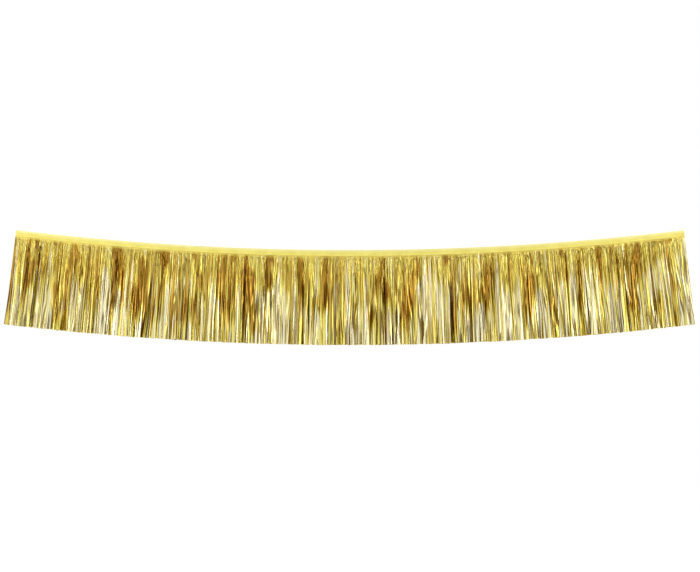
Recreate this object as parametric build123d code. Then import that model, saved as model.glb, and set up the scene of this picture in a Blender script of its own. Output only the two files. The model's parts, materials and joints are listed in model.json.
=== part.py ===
from build123d import *
import os

# A gold foil fringe garland: plies of metallised film, cut into strands, whose uncut roots are
# held in a folded header tape. It hangs in a shallow swag, with its back against a wall plane.
#
# Millimetres and degrees. X runs along the garland, -Y is its front and Z is up. The origin is
# in the middle of the header's back face, on the middle panel.
#
# The header bends where it likes, so it is made as short straight panels, with a bend between
# each two. In a panel's own frame the top edge of its header lies on X, centred.

# ---- the whole garland ----
garland_length = 1350.0  # along the top edge of the header
garland_drop = 191.0  # from the top edge down to the hem
swag_angle = 13.7  # between the first strand and the last, as it hangs at rest
panel_count = 11  # odd, so that one panel is the middle one

# ---- header tape, folded over the roots ----
tape_height = 12.0
tape_wall = 0.25
bend_gap = 0.3  # between the tapes of two panels, at the bend

# ---- foil: each ply is a bundle of thin leaves, cut together ----
ply_names = ("front", "middle", "back")
ply_thickness = 0.2
strands_per_panel = 35  # in each ply
slit_width = 0.2  # between two strands
uncut_margin = 1.0  # foil left whole above the slits, below the header
ply_splay = 1.5  # how far the outer plies lean away from the middle one
fringe_gap = 0.3  # between the foil of two panels, at the bend
swing_clearance = 0.3  # between the header and the foil that swings below it

# ---- sizes that follow ----
panel_width = garland_length / panel_count
middle_panel = panel_count // 2
bend_angle = swag_angle / panel_count
roots_thickness = len(ply_names) * ply_thickness
tape_thickness = roots_thickness + 2 * tape_wall
fold_radius = tape_thickness / 2
root_height = tape_height - fold_radius
swing_drop = tape_height + roots_thickness / 2 + swing_clearance  # top edge to the swing axis
strand_length = garland_drop - swing_drop
strand_pitch = (panel_width - fringe_gap) / strands_per_panel
header_middle_y = -tape_thickness / 2  # the roots' middle plane, with the back face at Y = 0


def tape_section(thickness, height):
    """Half-round fold on top of two straight legs, standing on Z = 0."""
    legs = Pos(0, (height - thickness / 2) / 2) * Rectangle(thickness, height - thickness / 2)
    fold = Pos(0, height - thickness / 2) * Circle(thickness / 2)
    return legs + fold


def header_tape():
    """One strip folded lengthwise into a narrow inverted U, open at the bottom for the roots."""
    folded = tape_section(tape_thickness, tape_height)
    inside = tape_section(roots_thickness, tape_height - tape_wall)
    length = panel_width - bend_gap
    tape = extrude(Plane.YZ * (folded - inside), length / 2, both=True)
    return Pos(0, header_middle_y, -tape_height) * tape


def ply_middle_y(ply):
    """Where a ply lies in the stack, front to back."""
    return header_middle_y + (ply - (len(ply_names) - 1) / 2) * ply_thickness


def film_roots():
    """The uncut tops of the plies, lying on each other inside the folded tape."""
    root = Box(panel_width - bend_gap, ply_thickness, root_height)
    low_edge_z = -tape_height
    return [
        Pos(0, ply_middle_y(ply), low_edge_z + root_height / 2) * root
        for ply in range(len(ply_names))
    ]


def strands(ply):
    """A ply's free length, slit into strands from the uncut margin down to the hem."""
    whole = Box(panel_width - fringe_gap, ply_thickness, strand_length)
    slit_length = strand_length - uncut_margin
    first_slit_x = -strand_pitch * (strands_per_panel / 2 - 1)
    slits = [
        Pos(first_slit_x + n * strand_pitch, 0, -uncut_margin / 2)
        * Box(slit_width, 2 * ply_thickness, slit_length)
        for n in range(strands_per_panel - 1)
    ]
    comb = whole - slits
    side = ply - (len(ply_names) - 1) / 2  # below 0 in front of the middle ply, above 0 behind it
    turn = (side > 0) - (side < 0)
    inner_face_y = turn * ply_thickness / 2
    leaning = Rot(turn * ply_splay, 0, 0) * Pos(0, inner_face_y, -strand_length / 2) * comb
    return Pos(0, ply_middle_y(ply) - inner_face_y, -swing_drop) * leaning


def panel_places():
    """Each panel's own frame: the chords of a shallow arc, lowest at the middle panel."""
    right = [Location((0, 0, tape_height / 2))]
    for n in range(middle_panel):
        last = right[-1]
        bend = last * Pos(panel_width / 2, 0, 0) * Rot(0, -bend_angle, 0)
        right.append(bend * Pos(panel_width / 2, 0, 0))
    left = [
        Location((-p.position.X, 0, p.position.Z), (0, (n + 1) * bend_angle, 0))
        for n, p in enumerate(right[1:])
    ]
    return left[::-1] + right


def swing_line(place):
    """Where a panel's foil swings from: the middle of the line, just under the header."""
    return place * Pos(0, header_middle_y, -swing_drop)


def bend_line(place, side):
    """Where the header bends beside a panel, at its top edge: side is -1 for left, 1 for right."""
    return place * Pos(side * panel_width / 2, header_middle_y, 0)


def main():
    os.makedirs("parts", exist_ok=True)
    pieces = {"header_tape": [header_tape()], "film_roots": film_roots()}
    for ply, name in enumerate(ply_names):
        pieces[f"{name}_strands"] = [strands(ply)]
    places = panel_places()
    for number, place in enumerate(places, start=1):
        for name, solids in pieces.items():
            placed = [place * solid for solid in solids]
            shape = placed[0] if len(placed) == 1 else Compound(children=placed)
            export_step(shape, f"parts/{name}_{number:02d}.step")
    print("panel width", round(panel_width, 3), "strand pitch", round(strand_pitch, 3))
    for number, place in enumerate(places, start=1):
        swing, bend = swing_line(place).position, bend_line(place, 1).position
        print(number, "swing", tuple(swing), "right bend", tuple(bend))


main()
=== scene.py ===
import json
import math
import random

import bpy
from mathutils import Matrix, Vector


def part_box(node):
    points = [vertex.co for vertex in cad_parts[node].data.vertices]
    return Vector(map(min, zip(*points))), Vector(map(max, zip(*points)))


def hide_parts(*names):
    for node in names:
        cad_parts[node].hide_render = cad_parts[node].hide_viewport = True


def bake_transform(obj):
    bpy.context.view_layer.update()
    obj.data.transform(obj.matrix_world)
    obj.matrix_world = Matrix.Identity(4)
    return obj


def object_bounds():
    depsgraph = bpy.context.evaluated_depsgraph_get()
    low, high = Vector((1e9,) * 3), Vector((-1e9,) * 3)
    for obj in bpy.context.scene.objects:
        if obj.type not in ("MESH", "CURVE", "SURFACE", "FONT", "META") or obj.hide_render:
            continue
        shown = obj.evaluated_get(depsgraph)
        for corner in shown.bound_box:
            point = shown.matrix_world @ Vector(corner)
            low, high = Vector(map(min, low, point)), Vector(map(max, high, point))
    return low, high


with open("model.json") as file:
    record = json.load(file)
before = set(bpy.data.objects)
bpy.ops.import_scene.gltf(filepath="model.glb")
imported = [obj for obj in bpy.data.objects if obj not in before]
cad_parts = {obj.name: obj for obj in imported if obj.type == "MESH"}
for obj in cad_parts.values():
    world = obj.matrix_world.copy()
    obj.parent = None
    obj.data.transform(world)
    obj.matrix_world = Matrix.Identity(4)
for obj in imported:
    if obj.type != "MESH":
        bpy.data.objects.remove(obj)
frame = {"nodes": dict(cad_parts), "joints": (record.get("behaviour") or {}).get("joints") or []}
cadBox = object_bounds()

mm = 0.001


def toLinear(hexColour):
    # sRGB hex to the linear numbers that sockets take
    parts = [int(hexColour[i:i + 2], 16) / 255 for i in (1, 3, 5)]
    return tuple(c / 12.92 if c <= 0.04045 else ((c + 0.055) / 1.055) ** 2.4 for c in parts) + (1.0,)


def addNode(tree, kind, settings=None, values=None, links=None):
    # one node with its settings, its socket values and what feeds each of its sockets
    node = tree.nodes.new(kind)
    for name, value in (settings or {}).items():
        setattr(node, name, value)
    for socket, value in (values or {}).items():
        node.inputs[socket].default_value = value
    for socket, source in (links or {}).items():
        tree.links.new(source, node.inputs[socket])
    return node


def newMaterial(name):
    material = bpy.data.materials.new(name)
    material.use_nodes = True
    material.node_tree.nodes.clear()
    return material, material.node_tree


def fillRamp(node, stops):
    ramp = node.color_ramp
    while len(ramp.elements) < len(stops):
        ramp.elements.new(0.5)
    for element, (place, colour) in zip(ramp.elements, stops):
        element.position = place
        element.color = toLinear(colour)


# where the panels are, read from the frame
tapeLow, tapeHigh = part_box("header_tape_06")  # the middle panel lies level
combLow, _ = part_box("middle_strands_06")
panelTotal = sum(name.startswith("header_tape_") for name in frame["nodes"])
jointsByName = {joint["name"]: joint for joint in frame["joints"]}
bendAngle = math.radians(-jointsByName["swag"]["range_deg"][0])  # the swag flattens at this limit
panelWidth = 2 * jointsByName["swag"]["pos_m"][0]
tapeHeight = tapeHigh.z - tapeLow.z
tapeThickness = tapeHigh.y - tapeLow.y
middleY = (tapeHigh.y + tapeLow.y) / 2
swingDrop = tapeHigh.z - jointsByName["swing_06"]["pos_m"][2]
hemDrop = tapeHigh.z - combLow.z
panelNames = [f"{number:02d}" for number in range(1, panelTotal + 1)]


def panelPlace(name):
    # the panel's own frame: X along the header, Z up, the origin on the middle of its top edge
    joint = jointsByName["swing_" + name]
    along = -Vector(joint["axis"]).normalized()
    up = Vector((-along.z, 0, along.x))
    start = Vector(joint["pos_m"]) + up * swingDrop
    start.y = 0
    turned = Matrix((along, Vector((0, 1, 0)), up)).transposed().to_4x4()
    return Matrix.Translation(start) @ turned


print("panels", panelTotal, "each", round(panelWidth / mm, 1), "mm wide")


foilLook = {
    "tones": (  # each strand's own tone is picked at random; the deep orange end also gives the painted reflection patches, and the pale end the painted highlights at the hem
        (0.0, "#B2882A"), (0.16, "#D2B44A"), (0.4, "#E8D862"), (0.72, "#F4E686"), (1.0, "#F8F0C4")),
    "paintedLiftUnderHeader": "#E2CE60",  # painted light: an even pale tone for the film pressed flat just under the header, lifting the shade there
    "patchWidth": 30,  # mm along the garland
    "patchHeight": 150,  # mm down the strands
    "paintedReflectionPatches": (0.4, 0.46),  # painted reflection: patch noise below this is fully deep orange, above it not at all
    "paintedHighlightZone": (1.5, 2.0),  # depth, tone and patch noise added up: where the painted highlight of the pale hem starts and is full
    "patchPull": 2.0,  # how much the patches shift that start
    "tonePull": 0.4,  # how much each strand shifts it
    "sheenReachTop": 0.85,  # how far up the tones the strands spread, at the header, where the paler tone is painted sheen
    "reachMiddle": 0.46,
    "highlightReachHem": 0.4,  # added to the last, at the pale hem, as painted highlight
    # painted highlight: how much paler the hem is drawn
    "paintedHemPaleness": 0.45,
    "topZone": 0.3,  # share of the strand, from the header
    # painted light under the header: where the even pale tone and the duller film reach, and how strongly
    # the tone takes over
    "pinchAndLiftZone": 0.045,
    "paintedLiftMix": 0.85,
    "pinchDulling": 0.28,
    "crinkleWidth": 2.2,
    "crinkleHeight": 30,
    "crinkleRise": 0.5,
    "crinkleZone": 0.5,
    "crinkleLeft": 0.06,  # strength that is left at the hem
    "roughest": 0.24,
    "smoothest": 0.1,
}


def makeFoil():
    # Vacuum-metallised polyester film with a gold lacquer, slit on a drum: mirror-bright, and each
    # strand takes its own tone, with fine crinkles where the header has pressed the film in. Painted
    # reflection, painted highlights and painted sheen are added to that tone.
    material, tree = newMaterial("metallisedPolyesterFilmSlit")
    smoothly = {"interpolation_type": "SMOOTHSTEP"}
    scaledSum = {"operation": "MULTIPLY_ADD"}
    coords = addNode(tree, "ShaderNodeTexCoord").outputs["Object"]
    tone = addNode(tree, "ShaderNodeAttribute", {"attribute_name": "foilTone"}).outputs["Fac"]
    depth = addNode(tree, "ShaderNodeAttribute", {"attribute_name": "fringeDepth"}).outputs["Fac"]
    # the patches are tall and narrow, and differ from ply to ply
    wide = addNode(tree, "ShaderNodeMapping", values={"Scale": (
        1 / (foilLook["patchWidth"] * mm), 60, 1 / (foilLook["patchHeight"] * mm))},
        links={"Vector": coords})
    patches = addNode(tree, "ShaderNodeTexNoise", values={"Scale": 1.0, "Detail": 2.0, "Roughness": 0.55},
                      links={"Vector": wide.outputs["Vector"]}).outputs["Fac"]
    deepest, ordinary = foilLook["paintedReflectionPatches"]
    # painted reflection: deep orange patches in the colour
    paintedReflection = addNode(tree, "ShaderNodeMapRange", smoothly,
                   {"From Min": deepest, "From Max": ordinary, "To Min": 0.0}, {"Value": patches})
    # patches of painted reflection, deep orange where gold film would mirror gold film, fade out towards the
    # hem, higher up on some strands than on others
    uneven = addNode(tree, "ShaderNodeMath", scaledSum, {1: foilLook["tonePull"]}, {0: tone, 2: depth})
    ragged = addNode(tree, "ShaderNodeMath", scaledSum, {1: foilLook["patchPull"]},
                     {0: patches, 2: uneven.outputs["Value"]})
    # painted highlights: the tone turns paler towards the hem
    highlightStart, highlightFull = foilLook["paintedHighlightZone"]
    paintedHemHighlight = addNode(tree, "ShaderNodeMapRange", smoothly, {"From Min": highlightStart, "From Max": highlightFull},
                      {"Value": ragged.outputs["Value"]})
    lifted = addNode(tree, "ShaderNodeMath", {"operation": "MAXIMUM"},
                     links={0: paintedReflection.outputs["Result"], 1: paintedHemHighlight.outputs["Result"]})
    # painted sheen: the tone is paler where the film comes out of the header
    paintedSheenNearHeader = addNode(tree, "ShaderNodeMapRange", smoothly, {
        "From Min": 0.0, "From Max": foilLook["topZone"],
        "To Min": foilLook["sheenReachTop"], "To Max": foilLook["reachMiddle"]}, {"Value": depth})
    reach = addNode(tree, "ShaderNodeMath", scaledSum, {1: foilLook["highlightReachHem"]},
                    {0: paintedHemHighlight.outputs["Result"], 2: paintedSheenNearHeader.outputs["Result"]})
    spread = addNode(tree, "ShaderNodeMath", {"operation": "MULTIPLY"},
                     links={0: tone, 1: reach.outputs["Value"]})
    mixed = addNode(tree, "ShaderNodeMath", {"operation": "MULTIPLY"},
                    links={0: spread.outputs["Value"], 1: lifted.outputs["Value"]})
    # painted highlight added at the hem
    paler = addNode(tree, "ShaderNodeMath", scaledSum, {1: foilLook["paintedHemPaleness"]},
                    {0: paintedHemHighlight.outputs["Result"], 2: mixed.outputs["Value"]})
    ramp = addNode(tree, "ShaderNodeValToRGB", links={"Fac": paler.outputs["Value"]})
    fillRamp(ramp, foilLook["tones"])
    # the film is still whole and pressed flat for a few millimetres under the header; it is duller there,
    # and painted light gives it an even pale tone that lifts the shade
    pinchAndPaintedLift = addNode(tree, "ShaderNodeMapRange", smoothly, {
        "From Min": 0.0, "From Max": foilLook["pinchAndLiftZone"],
        "To Min": foilLook["paintedLiftMix"], "To Max": 0.0}, {"Value": depth})
    colour = addNode(tree, "ShaderNodeMix", {"data_type": "RGBA"}, {"B": toLinear(foilLook["paintedLiftUnderHeader"])},
                     {"Factor": pinchAndPaintedLift.outputs["Result"], "A": ramp.outputs["Color"]})

    fine = addNode(tree, "ShaderNodeMapping", values={"Scale": (
        1 / (foilLook["crinkleWidth"] * mm), 200, 1 / (foilLook["crinkleHeight"] * mm))},
        links={"Vector": coords})
    crinkle = addNode(tree, "ShaderNodeTexNoise", values={"Scale": 1.0, "Detail": 1.0},
                      links={"Vector": fine.outputs["Vector"]})
    nearHeader = addNode(tree, "ShaderNodeMapRange", smoothly, {
        "From Min": 0.0, "From Max": foilLook["crinkleZone"],
        "To Min": 1.0, "To Max": foilLook["crinkleLeft"]}, {"Value": depth})
    bump = addNode(tree, "ShaderNodeBump", values={"Distance": foilLook["crinkleRise"] * mm},
                   links={"Height": crinkle.outputs["Fac"], "Strength": nearHeader.outputs["Result"]})
    rough = addNode(tree, "ShaderNodeMapRange", values={
        "From Min": 0.3, "From Max": 0.7, "To Min": foilLook["smoothest"], "To Max": foilLook["roughest"]},
        links={"Value": patches})
    dulled = addNode(tree, "ShaderNodeMath", scaledSum, {1: foilLook["pinchDulling"]},
                     {0: pinchAndPaintedLift.outputs["Result"], 2: rough.outputs["Result"]})
    shader = addNode(tree, "ShaderNodeBsdfPrincipled", values={
        "Metallic": 1.0, "Coat Weight": 0.4, "Coat Roughness": 0.05},
        links={"Base Color": colour.outputs["Result"], "Roughness": dulled.outputs["Value"],
               "Normal": bump.outputs["Normal"]})
    addNode(tree, "ShaderNodeOutputMaterial", links={"Surface": shader.outputs["BSDF"]})
    return material


tapeLook = {
    # painted highlight along the rounded fold
    "fold": "#EAE296",
    "body": "#F0E478",
    "worn": "#E9DA68",
    "mottle": 22,  # mm
    "brushed": 0.5,  # mm, drawn coarser than the real calender lines so that they show
    "brushLength": 18,
    "brushRise": 0.06,
    "foldZone": (0.35, 0.95),  # share of the tape's height over which it turns paler, as painted highlight along the fold
    "roughness": 0.42,
    "roughnessSpread": 0.06,
}


def makeTape():
    # Heat-sealed metallised film, calendered to a satin: an even pale gold, with a painted highlight
    # that makes it paler over the fold, with slow mottling and faint lines along its length.
    material, tree = newMaterial("heatSealedMetallisedFilmSatin")
    coords = addNode(tree, "ShaderNodeTexCoord").outputs["Object"]
    slow = addNode(tree, "ShaderNodeTexNoise",
                   values={"Scale": 1 / (tapeLook["mottle"] * mm), "Detail": 3.0}, links={"Vector": coords})
    mottled = addNode(tree, "ShaderNodeValToRGB", links={"Fac": slow.outputs["Fac"]})
    fillRamp(mottled, ((0.3, tapeLook["worn"]), (0.6, tapeLook["body"])))
    rise = addNode(tree, "ShaderNodeAttribute", {"attribute_name": "tapeRise"}).outputs["Fac"]
    # painted highlight: paler towards the fold at the top
    foldStart, foldFull = tapeLook["foldZone"]
    paintedFoldHighlight = addNode(tree, "ShaderNodeMapRange", {"interpolation_type": "SMOOTHSTEP"},
                       {"From Min": foldStart, "From Max": foldFull}, {"Value": rise})
    colour = addNode(tree, "ShaderNodeMix", {"data_type": "RGBA"}, {"B": toLinear(tapeLook["fold"])},
                     {"Factor": paintedFoldHighlight.outputs["Result"], "A": mottled.outputs["Color"]})
    across = 1 / (tapeLook["brushed"] * mm)
    stretched = addNode(tree, "ShaderNodeMapping", values={"Scale": (
        1 / (tapeLook["brushLength"] * mm), across, across)}, links={"Vector": coords})
    lines = addNode(tree, "ShaderNodeTexNoise", values={"Scale": 1.0, "Detail": 1.0},
                    links={"Vector": stretched.outputs["Vector"]})
    bump = addNode(tree, "ShaderNodeBump", values={"Distance": tapeLook["brushRise"] * mm, "Strength": 0.5},
                   links={"Height": lines.outputs["Fac"]})
    rough = addNode(tree, "ShaderNodeMapRange", values={
        "To Min": tapeLook["roughness"] - tapeLook["roughnessSpread"],
        "To Max": tapeLook["roughness"] + tapeLook["roughnessSpread"]},
        links={"Value": slow.outputs["Fac"]})
    shader = addNode(tree, "ShaderNodeBsdfPrincipled", values={"Metallic": 0.5},
                     links={"Base Color": colour.outputs["Result"], "Roughness": rough.outputs["Result"],
                            "Normal": bump.outputs["Normal"]})
    addNode(tree, "ShaderNodeOutputMaterial", links={"Surface": shader.outputs["BSDF"]})
    return material


foil = makeFoil()
tape = makeTape()
print("materials made")


# the fringe; sizes are in mm, and depth is 0 at the header and 1 at the hem
fringeLook = {
    "strands": 35,  # in one leaf of a ply, on one panel
    "leaves": 2,
    "strandWidth": 4.2,
    "film": 0.06,
    "bow": 0.25,  # how far a strand's middle stands out from its edges
    "rings": 17,
    "ringCrowding": 1.9,  # above 1, rings stand closer together near the header, where the film bends
    "lap": 3.0,  # over the next panel's strands
    "tuck": 0.6,  # how far the strands run up inside the header
    "plyGap": 0.2,
    "raggedHem": 0.9,
    "leafSpacing": 0.09,
    "leafSplay": 8.0,  # times the leaf spacing, at the hem
    "lean": 4.0,  # how far the outer plies stand out at the hem
    "leanSpread": 0.3,
    "sway": 9.0,
    "swayRange": (0.45, 1.8),  # most strands hang straight, and a few stray
    "strayPower": 5.0,
    "twist": 1.5,
    "ownTwist": 0.34,
    "driftTwist": 0.45,
    "clumpTwist": 2.2,
    "settleDepth": 0.07,
    "twistGrowth": (0.62, 0.84),  # share of the twist, near the header and at the hem
    "crimp": 0.24,
    "driftCrimp": 1.6,
    "clumpCrimp": 4.0,
    "flatDepth": (0.004, 0.035),  # pressed flat at the roots, free a few millimetres lower
    "clump": 7.5,  # strands this close cling together
    "rootJitter": 0.12,
    "widthSpread": 0.12,
    "bend": 9,  # below the header, where the film curves when it swings
}


def makeFringeTree():
    # makes all the strands of one ply on one panel, in the panel's own frame
    tree = bpy.data.node_groups.new("foilFringe", "GeometryNodeTree")
    sockets = tree.interface
    for name, kind, value in (
        ("Panel Width", "NodeSocketFloat", 0.12), ("Fan Angle", "NodeSocketFloat", 0.0),
        ("Left Edge", "NodeSocketFloat", -1.0), ("Right Edge", "NodeSocketFloat", 1.0),
        ("Strands", "NodeSocketInt", 35), ("Leaves", "NodeSocketInt", 2),
        ("Strand Width", "NodeSocketFloat", 0.003), ("Film Thickness", "NodeSocketFloat", 0.0001),
        ("Bow", "NodeSocketFloat", 0.0005), ("Rings", "NodeSocketInt", 13),
        ("Root Height", "NodeSocketFloat", -0.012), ("Length", "NodeSocketFloat", 0.18),
        ("Ragged Hem", "NodeSocketFloat", 0.001), ("Root Y", "NodeSocketFloat", 0.0),
        ("Leaf Spacing", "NodeSocketFloat", 0.0001), ("Lean", "NodeSocketFloat", 0.0),
        ("Sway", "NodeSocketFloat", 0.002), ("Twist", "NodeSocketFloat", 1.0),
        ("Crimp", "NodeSocketFloat", 0.2),
        ("Along", "NodeSocketFloat", 0.0), ("Clump", "NodeSocketFloat", 0.01), ("Ply", "NodeSocketInt", 0),
        ("Seed", "NodeSocketInt", 1), ("Film", "NodeSocketMaterial", None),
    ):
        socket = sockets.new_socket(name, in_out="INPUT", socket_type=kind)
        if value is not None:
            socket.default_value = value
    sockets.new_socket("Geometry", in_out="OUTPUT", socket_type="NodeSocketGeometry")
    given = addNode(tree, "NodeGroupInput").outputs
    look = fringeLook

    def maths(operation, *terms):
        node = addNode(tree, "ShaderNodeMath", {"operation": operation})
        for socket, term in enumerate(terms):
            if isinstance(term, (int, float)):
                node.inputs[socket].default_value = term
            else:
                tree.links.new(term, node.inputs[socket])
        return node.outputs["Value"]

    def named(attribute, kind="FLOAT"):
        return addNode(tree, "GeometryNodeInputNamedAttribute", {"data_type": kind},
                       {"Name": attribute}).outputs["Attribute"]

    def store(geometry, attribute, value, domain="POINT", kind="FLOAT"):
        return addNode(tree, "GeometryNodeStoreNamedAttribute", {"data_type": kind, "domain": domain},
                       {"Name": attribute}, {"Geometry": geometry, "Value": value}).outputs["Geometry"]

    # one strand, as a thin four-sided prism: two edges, a front and a back
    prism = addNode(tree, "GeometryNodeMeshCylinder", {"fill_type": "NGON"},
                    {"Vertices": 4, "Radius": 1.0, "Depth": 1.0}, {"Side Segments": given["Rings"]})
    place = addNode(tree, "GeometryNodeInputPosition").outputs["Position"]
    shaped = store(prism.outputs["Mesh"], "shape", place, kind="FLOAT_VECTOR")
    total = maths("MULTIPLY", given["Strands"], given["Leaves"])
    row = addNode(tree, "GeometryNodeMeshLine", {"mode": "OFFSET"}, {"Offset": (0, 0, 0)},
                  {"Count": total})
    copies = addNode(tree, "GeometryNodeInstanceOnPoints",
                     links={"Points": row.outputs["Mesh"], "Instance": shaped})
    index = addNode(tree, "GeometryNodeInputIndex").outputs["Index"]
    numbered = store(copies.outputs["Instances"], "strandNumber", index, "INSTANCE", "INT")
    strands = addNode(tree, "GeometryNodeRealizeInstances",
                      links={"Geometry": numbered}).outputs["Geometry"]

    number = named("strandNumber", "INT")
    shape = addNode(tree, "ShaderNodeSeparateXYZ",
                    links={"Vector": named("shape", "FLOAT_VECTOR")}).outputs

    def chance(offset, low=-1.0, high=1.0):
        # a fixed random number for each strand
        seed = maths("ADD", given["Seed"], offset)
        return addNode(tree, "FunctionNodeRandomValue", {"data_type": "FLOAT"}, {2: low, 3: high},
                       {"ID": number, "Seed": seed}).outputs[1]

    down = maths("SUBTRACT", 0.5, shape["Z"])
    depth = maths("POWER", down, look["ringCrowding"])  # 0 at the roots, 1 at the hem

    def eased(start, end, low=0.0, high=1.0):
        # from low to high as the depth goes from start to end
        return addNode(tree, "ShaderNodeMapRange", {"interpolation_type": "SMOOTHSTEP"},
                       {"From Min": start, "From Max": end, "To Min": low, "To Max": high},
                       {"Value": depth}).outputs["Result"]

    def wander(offset, turns, detail=0.0):
        # slow noise down a strand, different for each strand, about -0.5 to 0.5
        where = addNode(tree, "ShaderNodeCombineXYZ", links={
            "X": maths("MULTIPLY", number, 7.31),
            "Y": maths("ADD", maths("MULTIPLY", given["Seed"], 3.7), offset),
            "Z": maths("MULTIPLY", depth, turns)}).outputs["Vector"]
        noise = addNode(tree, "ShaderNodeTexNoise", values={"Scale": 1.0, "Detail": detail},
                        links={"Vector": where})
        return maths("SUBTRACT", noise.outputs["Fac"], 0.5)

    # where each strand leaves the header
    leaf = maths("FLOOR", maths("DIVIDE", maths("ADD", number, 0.5), given["Strands"]))
    column = maths("SUBTRACT", number, maths("MULTIPLY", leaf, given["Strands"]))
    stagger = maths("MULTIPLY", maths("MODULO", leaf, 2.0), 0.5)
    step = maths("ADD", maths("ADD", maths("ADD", column, 0.25), stagger),
                 maths("MULTIPLY", chance(1), look["rootJitter"]))
    pitch = maths("DIVIDE", given["Panel Width"], given["Strands"])
    rootX = maths("SUBTRACT", maths("MULTIPLY", step, pitch), maths("DIVIDE", given["Panel Width"], 2.0))
    fan = maths("MULTIPLY", given["Fan Angle"], maths("DIVIDE", rootX, given["Panel Width"]))
    length = maths("ADD", given["Length"], maths("MULTIPLY", given["Ragged Hem"], chance(2)))
    drop = maths("MULTIPLY", depth, length)

    # the line that it hangs along
    straightest, loosest = look["swayRange"]
    stray = maths("MULTIPLY", maths("POWER", chance(12, 0.0, 1.0), look["strayPower"]), loosest)
    loose = maths("MULTIPLY", maths("MULTIPLY", given["Sway"], depth), maths("ADD", stray, straightest))
    swayX = maths("MULTIPLY", loose, wander(11.0, 1.3))
    swayY = maths("MULTIPLY", loose, wander(23.0, 1.5))
    middleLeaf = maths("DIVIDE", maths("SUBTRACT", given["Leaves"], 1.0), 2.0)
    leafY = maths("MULTIPLY", maths("SUBTRACT", leaf, middleLeaf), given["Leaf Spacing"])
    leafLean = maths("MULTIPLY", maths("MULTIPLY", leafY, look["leafSplay"]), depth)
    ownLean = maths("MULTIPLY", chance(3, -look["leanSpread"], look["leanSpread"]), depth)
    leaned = maths("MULTIPLY", given["Lean"], maths("ADD", depth, ownLean))
    centreX = maths("ADD", maths("ADD", rootX, maths("MULTIPLY", maths("SINE", fan), drop)), swayX)
    centreY = maths("ADD", maths("ADD", given["Root Y"], leafY),
                    maths("ADD", maths("ADD", leafLean, leaned), swayY))
    centreZ = maths("SUBTRACT", given["Root Height"], maths("MULTIPLY", maths("COSINE", fan), drop))

    def cling(offset, turns):
        # strands that cling together turn together: noise along the garland, about -0.5 to 0.5
        where = addNode(tree, "ShaderNodeCombineXYZ", links={
            "X": maths("DIVIDE", maths("ADD", given["Along"], rootX), given["Clump"]),
            "Y": maths("ADD", given["Ply"], offset), "Z": maths("MULTIPLY", depth, turns)}).outputs["Vector"]
        noise = addNode(tree, "ShaderNodeTexNoise", values={"Scale": 1.0, "Detail": 1.0},
                        links={"Vector": where})
        return maths("SUBTRACT", noise.outputs["Fac"], 0.5)

    free = eased(*look["flatDepth"])
    # a strand turns as it leaves the header and turns a little further on its way to the hem
    settle = eased(0.0, look["settleDepth"])
    grown = eased(0.1, 0.9, *look["twistGrowth"])
    held = maths("ADD", maths("MULTIPLY", chance(4), look["ownTwist"]),
                 maths("MULTIPLY", wander(41.0, 0.5), look["driftTwist"]))
    turning = maths("MULTIPLY", maths("ADD", held, maths("MULTIPLY", cling(0.0, 0.3), look["clumpTwist"])),
                    maths("MULTIPLY", settle, grown))
    # crimps are strongest near the header
    fading = maths("SUBTRACT", 1.0 + look["twistGrowth"][0], grown)
    crimps = maths("ADD", maths("ADD", chance(9), maths("MULTIPLY", wander(57.0, 1.6), look["driftCrimp"])),
                   maths("MULTIPLY", cling(5.0, 0.6), look["clumpCrimp"]))
    crimped = maths("MULTIPLY", maths("MULTIPLY", given["Crimp"], crimps), maths("MULTIPLY", fading, free))
    angle = maths("ADD", maths("MULTIPLY", given["Twist"], turning), crimped)

    # the strand's cross-section, turned by that angle
    cosine, sine = maths("COSINE", angle), maths("SINE", angle)
    half = maths("MULTIPLY", maths("DIVIDE", given["Strand Width"], 2.0),
                 maths("ADD", 1.0, maths("MULTIPLY", chance(6), look["widthSpread"])))
    edge = maths("ADD", rootX, maths("MULTIPLY", shape["X"], half))
    kept = maths("MINIMUM", maths("MAXIMUM", edge, given["Left Edge"]), given["Right Edge"])
    across = maths("SUBTRACT", kept, rootX)
    bowed = maths("MULTIPLY", maths("MULTIPLY", maths("ABSOLUTE", shape["Y"]), given["Bow"]),
                  maths("MULTIPLY", chance(7), free))
    skin = maths("MULTIPLY", shape["Y"], maths("DIVIDE", given["Film Thickness"], 2.0))
    outward = maths("ADD", bowed, skin)
    x = maths("ADD", centreX,
              maths("SUBTRACT", maths("MULTIPLY", across, cosine), maths("MULTIPLY", outward, sine)))
    y = maths("ADD", centreY,
              maths("ADD", maths("MULTIPLY", across, sine), maths("MULTIPLY", outward, cosine)))
    final = addNode(tree, "ShaderNodeCombineXYZ", links={"X": x, "Y": y, "Z": centreZ}).outputs["Vector"]

    toned = store(strands, "foilTone", chance(8, 0.0, 1.0))
    deep = store(toned, "fringeDepth", depth)
    moved = addNode(tree, "GeometryNodeSetPosition",
                    links={"Geometry": deep, "Position": final}).outputs["Geometry"]
    smooth = addNode(tree, "GeometryNodeSetShadeSmooth", {"domain": "FACE"}, {"Shade Smooth": True},
                     {"Geometry": moved}).outputs["Geometry"]
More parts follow.
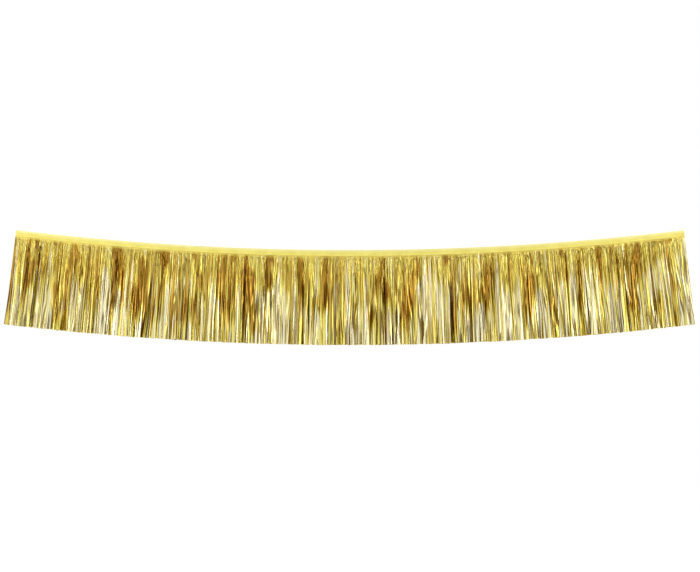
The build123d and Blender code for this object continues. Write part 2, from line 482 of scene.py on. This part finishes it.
    # the slit edges and the cut ends stay sharp
    rim = maths("GREATER_THAN", maths("ABSOLUTE", shape["X"]), 0.9)
    ends = maths("GREATER_THAN", maths("ABSOLUTE", shape["Z"]), 0.495)
    creased = addNode(tree, "GeometryNodeSetShadeSmooth", {"domain": "EDGE"}, {"Shade Smooth": False},
                      {"Geometry": smooth, "Selection": maths("MAXIMUM", rim, ends)}).outputs["Geometry"]
    bare = creased
    for spent in ("shape", "strandNumber"):
        bare = addNode(tree, "GeometryNodeRemoveAttribute", values={"Name": spent},
                       links={"Geometry": bare}).outputs["Geometry"]
    whole = addNode(tree, "GeometryNodeRealizeInstances", links={"Geometry": bare}).outputs["Geometry"]
    dressed = addNode(tree, "GeometryNodeSetMaterial",
                      links={"Geometry": whole, "Material": given["Film"]})
    addNode(tree, "NodeGroupOutput", links={"Geometry": dressed.outputs["Geometry"]})
    return tree


def growMesh(name, tree, values):
    # evaluates the tree once and hands back a plain mesh
    seedMesh = bpy.data.meshes.new(name + "Seed")
    holder = bpy.data.objects.new(name + "Seed", seedMesh)
    bpy.context.scene.collection.objects.link(holder)
    modifier = holder.modifiers.new("grow", "NODES")
    modifier.node_group = tree
    identifiers = {item.name: item.identifier for item in tree.interface.items_tree
                   if item.in_out == "INPUT"}
    for label, value in values.items():
        modifier[identifiers[label]] = value
    graph = bpy.context.evaluated_depsgraph_get()
    mesh = bpy.data.meshes.new_from_object(holder.evaluated_get(graph), depsgraph=graph)
    mesh.name = name
    holder.modifiers.clear()
    bpy.data.objects.remove(holder)
    bpy.data.meshes.remove(seedMesh)
    return mesh


plies = ("front", "middle", "back")


def makeFringe(tree):
    pieces = []
    for panel, panelName in enumerate(panelNames):
        # strands lap over the next panel's, but none passes the ends of the garland
        leftEdge = -panelWidth / 2 - (fringeLook["lap"] * mm if panel > 0 else 0)
        rightEdge = panelWidth / 2 + (fringeLook["lap"] * mm if panel < panelTotal - 1 else 0)
        for ply, plyName in enumerate(plies):
            side = ply - 1  # -1 in front of the middle ply, 1 behind it
            mesh = growMesh(f"{plyName}_foil_{panelName}", tree, {
                "Panel Width": panelWidth, "Fan Angle": bendAngle,
                "Left Edge": leftEdge, "Right Edge": rightEdge,
                "Strands": fringeLook["strands"], "Leaves": fringeLook["leaves"],
                "Strand Width": fringeLook["strandWidth"] * mm,
                "Film Thickness": fringeLook["film"] * mm,
                "Bow": fringeLook["bow"] * mm, "Rings": fringeLook["rings"],
                "Root Height": -tapeHeight + fringeLook["tuck"] * mm,
                "Length": hemDrop - tapeHeight + fringeLook["tuck"] * mm,
                "Ragged Hem": fringeLook["raggedHem"] * mm,
                "Root Y": middleY + side * fringeLook["plyGap"] * mm,
                "Leaf Spacing": fringeLook["leafSpacing"] * mm,
                "Lean": side * fringeLook["lean"] * mm,
                "Sway": fringeLook["sway"] * mm, "Twist": fringeLook["twist"],
                "Crimp": fringeLook["crimp"],
                "Along": (panel - (panelTotal - 1) / 2) * panelWidth,
                "Clump": fringeLook["clump"] * mm, "Ply": ply,
                "Seed": 1000 * ply + 37 * panel, "Film": foil})
            mesh.transform(panelPlace(panelName))
            piece = bpy.data.objects.new(mesh.name, mesh)
            bpy.context.scene.collection.objects.link(piece)
            pieces.append((piece, panelName, plyName))
    return pieces


for piece, panelName, plyName in makeFringe(makeFringeTree()):
    place = panelPlace(panelName)
    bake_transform(piece)
    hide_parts(f"{plyName}_strands_{panelName}")
print("fringe made")


# header tape: one folded strip, in lengths that each cross a bend
headerLook = {
    "foldSteps": 8,
    "lengthSteps": 30,  # for each panel
    "wall": 0.25,
    "sealRise": 2.6,  # the pressed seal line, above the lower edge
    "sealWidth": 0.9,
    "sealDepth": 0.09,
    "ripple": 0.11,  # how far the skin waves in and out
    "waves": (31, 47, 19),  # mm
    "bendReach": 20,  # mm each side of a bend, over which the tape curves
}


def tapeSection():
    # the inverted U as an outline in (y, z): over the fold from front to back, and back inside
    outer, wall = tapeThickness / 2, headerLook["wall"] * mm
    inner = outer - wall
    seal, reach, press = (headerLook[name] * mm for name in ("sealRise", "sealWidth", "sealDepth"))
    leg = [(0, 0), (seal - reach / 2, 0), (seal, press), (seal + reach / 2, 0)]
    outside = [(-outer + sunk, -tapeHeight + rise) for rise, sunk in leg]
    inside = [(inner, -tapeHeight + rise) for rise, sunk in leg]
    for k in range(headerLook["foldSteps"] + 1):
        turn = math.pi * k / headerLook["foldSteps"]
        outside.append((-outer * math.cos(turn), -outer + outer * math.sin(turn)))
        inside.append((inner * math.cos(turn), -outer + inner * math.sin(turn)))
    outside += [(outer - sunk, -tapeHeight + rise) for rise, sunk in reversed(leg)]
    inside += [(-inner, -tapeHeight + rise) for rise, sunk in reversed(leg)]
    return outside + inside


def stripPoint(along, y, z):
    # a point of the header, which lies along a smooth arc at rest; along is 0 at the garland's middle
    radius = panelWidth / bendAngle
    turn = along / radius
    reach = radius - z
    return Vector((math.sin(turn) * reach, middleY + y, tapeHigh.z + radius - math.cos(turn) * reach))


def skinWave(along, z):
    # the sealed skin waves a little, most at its lower edge and not at all on the fold
    waves = headerLook["waves"]
    total = sum(math.sin(along / (wave * mm) * 2 * math.pi + wave) for wave in waves) / len(waves)
    return headerLook["ripple"] * mm * total * min(1, -z / tapeHeight)


def makeTapeLength(name, start, end):
    section = tapeSection()
    count = len(section)
    half = count // 2
    steps = max(4, round(headerLook["lengthSteps"] * (end - start) / panelWidth))
    points, rises = [], []
    for k in range(steps + 1):
        along = start + (end - start) * k / steps
        for n, (y, z) in enumerate(section):
            points.append(stripPoint(along, y + skinWave(along, z) if n < half else y, z))
            rises.append(1 + z / tapeHeight)
    faces = []
    for k in range(steps):
        for n in range(count):
            a, b = k * count + n, k * count + (n + 1) % count
            faces.append((a, b, b + count, a + count))
    # the two ends are rings of quads between the outer and the inner outline
    for base, flip in ((0, False), (steps * count, True)):
        for n in range(half - 1):
            quad = (base + n, base + n + 1, base + count - 2 - n, base + count - 1 - n)
            faces.append(quad if flip else quad[::-1])
    mesh = bpy.data.meshes.new(name)
    mesh.from_pydata(points, [], faces)
    mesh.materials.append(tape)
    mesh.attributes.new("tapeRise", "FLOAT", "POINT").data.foreach_set("value", rises)
    mesh.validate()
    mesh.shade_smooth()
    for edge in mesh.edges:
        ends = [v // count for v in edge.vertices]
        edge.use_edge_sharp = ends in ([0, 0], [steps, steps])
    piece = bpy.data.objects.new(name, mesh)
    bpy.context.scene.collection.objects.link(piece)
    return piece


def makeHeader():
    middle = (panelTotal - 1) / 2
    for panel, (left, right) in enumerate(zip(panelNames, panelNames[1:])):
        start = (panel - middle) * panelWidth
        end = start + panelWidth
        if panel == 0:
            start -= panelWidth / 2
        if panel == panelTotal - 2:
            end += panelWidth / 2
        piece = makeTapeLength(f"folded_tape_{left}_{right}", start, end)
        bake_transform(piece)
        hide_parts("header_tape_" + left, "header_tape_" + right)


makeHeader()
for name, node in frame["nodes"].items():
    if name.startswith("film_roots_"):
        node.data.materials.clear()
        node.data.materials.append(foil)
print("header made")


# studio: white all round, plain lamps, and dark flags that only reflections see
studioLook = {
    "ambient": 0.6,
    "floorDrop": 1750,  # mm below the hem
    "flags": 15,
    "flagShades": ("#66522C", "#8E7846", "#B49E62", "#7A6238"),
    "narrowest": 6,  # degrees
    "widest": 12,
    "frontWiden": 1.45,  # for the flags that stand in front
    "strips": (-66, -34, 37, 61, 118, 160, 205, 248),  # bearings of tall narrow lamps, 0 in front
    "stripPower": 3.9,
    "flagDistance": 3.2,  # m
    "flagTop": 1.4,
    "stripDistance": 2.9,
    "stripSize": (0.22, 2.4),
    "floorHalf": 12.0,
    "lamps": (  # name, place, size and power
        ("keyLamp", (-1.6, -2.6, 1.6), (1.2, 1.2), 36),
        ("fillLamp", (1.9, -2.5, 1.45), (1.4, 1.4), 34),
        ("backLamp", (0.4, 2.4, 1.8), (1.6, 1.0), 30),
    ),
    "lens": 100.0,
    "sensor": 36.0,
    "seenWidth": 1.412,  # m across the picture, at the garland
    "eyeHeight": -0.0666,
}


def makeFlag(name, bearing, width, shade):
    # a tall dark panel on the floor; the foil mirrors it as a dark streak, and nothing else sees it
    reach, top = studioLook["flagDistance"], studioLook["flagTop"]
    low = cadBox[0].z - studioLook["floorDrop"] * mm
    corners = []
    for side in (bearing - width / 2, bearing + width / 2):
        turn = math.radians(side)
        foot = (reach * math.sin(turn), -reach * math.cos(turn))
        corners += [(*foot, low), (*foot, top)]
    mesh = bpy.data.meshes.new(name)
    mesh.from_pydata(corners, [], [(0, 2, 3, 1)])
    material, tree = newMaterial(name)
    glow = addNode(tree, "ShaderNodeEmission", values={"Color": toLinear(shade), "Strength": 1.0})
    addNode(tree, "ShaderNodeOutputMaterial", links={"Surface": glow.outputs["Emission"]})
    mesh.materials.append(material)
    flag = bpy.data.objects.new(name, mesh)
    bpy.context.scene.collection.objects.link(flag)
    flag.visible_camera = False
    flag.visible_diffuse = False
    flag.visible_shadow = False


def makeFlags():
    dice = random.Random(5)
    step = 360 / studioLook["flags"]
    for count in range(studioLook["flags"]):
        bearing = (count + dice.uniform(-0.25, 0.25)) * step
        width = dice.uniform(studioLook["narrowest"], studioLook["widest"])
        if math.cos(math.radians(bearing)) > 0.85:
            width *= studioLook["frontWiden"]
        makeFlag(f"flag_{count + 1:02d}", bearing, width, dice.choice(studioLook["flagShades"]))


def seenDirectly(tree):
    # 1 for rays from the camera and for those that metal and glass send on, 0 for lighting rays
    path = addNode(tree, "ShaderNodeLightPath")
    both = addNode(tree, "ShaderNodeMath", {"operation": "MAXIMUM"},
                   links={0: path.outputs["Is Camera Ray"], 1: path.outputs["Is Glossy Ray"]})
    return addNode(tree, "ShaderNodeMath", {"operation": "MAXIMUM"},
                   links={0: both.outputs["Value"], 1: path.outputs["Is Transmission Ray"]}).outputs["Value"]


def makeWorld():
    world = bpy.data.worlds.new("studio")
    world.use_nodes = True
    tree = world.node_tree
    tree.nodes.clear()
    level = addNode(tree, "ShaderNodeMapRange", values={"To Min": studioLook["ambient"], "To Max": 1.0},
                    links={"Value": seenDirectly(tree)})
    shine = addNode(tree, "ShaderNodeBackground", values={"Color": (1, 1, 1, 1)},
                    links={"Strength": level.outputs["Result"]})
    addNode(tree, "ShaderNodeOutputWorld", links={"Surface": shine.outputs["Background"]})
    bpy.context.scene.world = world


def makeFloor():
    low = cadBox[0].z - studioLook["floorDrop"] * mm
    half = studioLook["floorHalf"]
    corners = [(-half, -half, low), (half, -half, low), (half, half, low), (-half, half, low)]
    mesh = bpy.data.meshes.new("floor")
    mesh.from_pydata(corners, [], [(0, 1, 2, 3)])
    material, tree = newMaterial("paintedFloorMatt")
    matt = addNode(tree, "ShaderNodeBsdfDiffuse", values={"Color": (0.8, 0.8, 0.8, 1)})
    level = addNode(tree, "ShaderNodeMath", {"operation": "MULTIPLY"}, {1: 0.6}, {0: seenDirectly(tree)})
    glow = addNode(tree, "ShaderNodeEmission", values={"Color": (1, 1, 1, 1)},
                   links={"Strength": level.outputs["Value"]})
    both = addNode(tree, "ShaderNodeAddShader", links={0: matt.outputs["BSDF"], 1: glow.outputs["Emission"]})
    addNode(tree, "ShaderNodeOutputMaterial", links={"Surface": both.outputs["Shader"]})
    mesh.materials.append(material)
    floor = bpy.data.objects.new("floor", mesh)
    bpy.context.scene.collection.objects.link(floor)


def makeLamp(name, place, target, size, power):
    data = bpy.data.lights.new(name, "AREA")
    data.shape = "RECTANGLE"
    data.size, data.size_y = size
    data.energy = power
    lamp = bpy.data.objects.new(name, data)
    bpy.context.scene.collection.objects.link(lamp)
    lamp.visible_camera = False
    lamp.location = place
    lamp.rotation_euler = (Vector(target) - Vector(place)).to_track_quat("-Z", "Y").to_euler()


def makeCamera():
    centre = (cadBox[0] + cadBox[1]) / 2
    lens, sensor = studioLook["lens"], studioLook["sensor"]
    data = bpy.data.cameras.new("camera")
    data.lens, data.sensor_width = lens, sensor
    camera = bpy.data.objects.new("camera", data)
    bpy.context.scene.collection.objects.link(camera)
    camera.location = (centre.x, -studioLook["seenWidth"] * lens / sensor, studioLook["eyeHeight"])
    camera.rotation_euler = (math.pi / 2, 0, 0)
    bpy.context.scene.camera = camera


makeWorld()
makeFloor()
makeFlags()
for name, place, size, power in studioLook["lamps"]:
    makeLamp(name, place, (0, 0, 0), size, power)
for count, bearing in enumerate(studioLook["strips"], start=1):
    turn, reach = math.radians(bearing), studioLook["stripDistance"]
    place = (reach * math.sin(turn), -reach * math.cos(turn), -0.2)
    makeLamp(f"stripLamp{count}", place, (0, 0, -0.1), studioLook["stripSize"], studioLook["stripPower"])
makeCamera()
bpy.context.scene.view_settings.view_transform = "Standard"
print("studio made")
